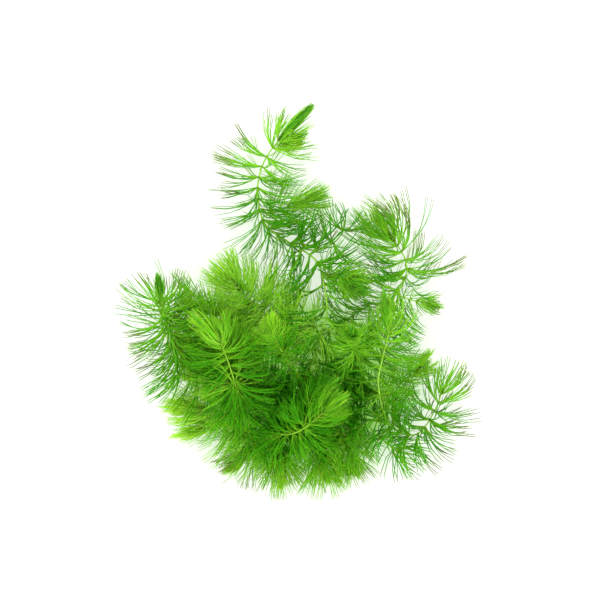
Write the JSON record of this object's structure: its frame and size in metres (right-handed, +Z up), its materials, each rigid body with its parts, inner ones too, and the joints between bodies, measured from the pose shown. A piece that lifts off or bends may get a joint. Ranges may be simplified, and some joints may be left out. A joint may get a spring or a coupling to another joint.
{
  "type": "hornwort clump",
  "caption": "Loose clump of hornwort, an aquarium plant: branched green stems with whorls of fine forked leaves and closed spindle-shaped growing tips, lying flat.",
  "frame": {"origin": "middle of the clump's footprint, on the surface it lies on", "axes": "+Z up from the surface, +Y along the clump's longest side, towards its long north shoot, +X to the right in the view from above"},
  "size_m": [0.1472, 0.1678, 0.0609],
  "materials": {
    "leaf": "satin",
    "old_leaf": "satin",
    "young_tip": "satin"
  },
  "bodies": {
    "root": {"north_stem": "leaf", "north_shoot": "leaf", "north_tip": "young_tip", "north_twin_shoot": "leaf", "north_twin_tip": "young_tip", "north_inner_shoot": "leaf", "north_inner_tip": "young_tip", "arched_shoot": "old_leaf", "middle_shoot": "leaf", "middle_tip": "young_tip", "crown_shoot": "leaf", "crown_tip": "young_tip", "northwest_shoot": "leaf", "northwest_tip": "young_tip", "northeast_stem": "leaf", "northeast_shoot": "leaf", "northeast_tip": "young_tip", "northeast_twig_shoot": "leaf", "northeast_twig_tip": "young_tip", "peak_shoot": "leaf", "peak_tip": "young_tip", "east_stem": "leaf", "east_shoot": "leaf", "east_tip": "young_tip", "far_east_shoot": "leaf", "far_east_tip": "young_tip", "east_side_shoot": "leaf", "east_side_tip": "young_tip", "southeast_shoot": "leaf", "west_stem": "leaf", "south_shoot": "leaf", "south_tip": "young_tip", "south_twin_shoot": "leaf", "south_twin_tip": "young_tip", "west_shoot": "leaf", "west_tip": "young_tip", "far_west_shoot": "leaf", "far_west_tip": "young_tip", "west_low_shoot": "leaf", "west_low_tip": "young_tip", "west_middle_shoot": "leaf", "west_middle_tip": "young_tip", "west_lowest_shoot": "leaf", "west_lowest_tip": "young_tip", "southwest_shoot": "leaf", "southwest_tip": "young_tip", "south_fringe_shoot": "leaf", "south_fringe_tip": "young_tip", "south_middle_shoot": "leaf", "south_middle_tip": "young_tip", "south_corner_shoot": "leaf", "south_corner_tip": "young_tip", "core_south_shoot": "leaf", "core_north_shoot": "leaf", "core_west_shoot": "leaf"}
  },
  "joints": []
}
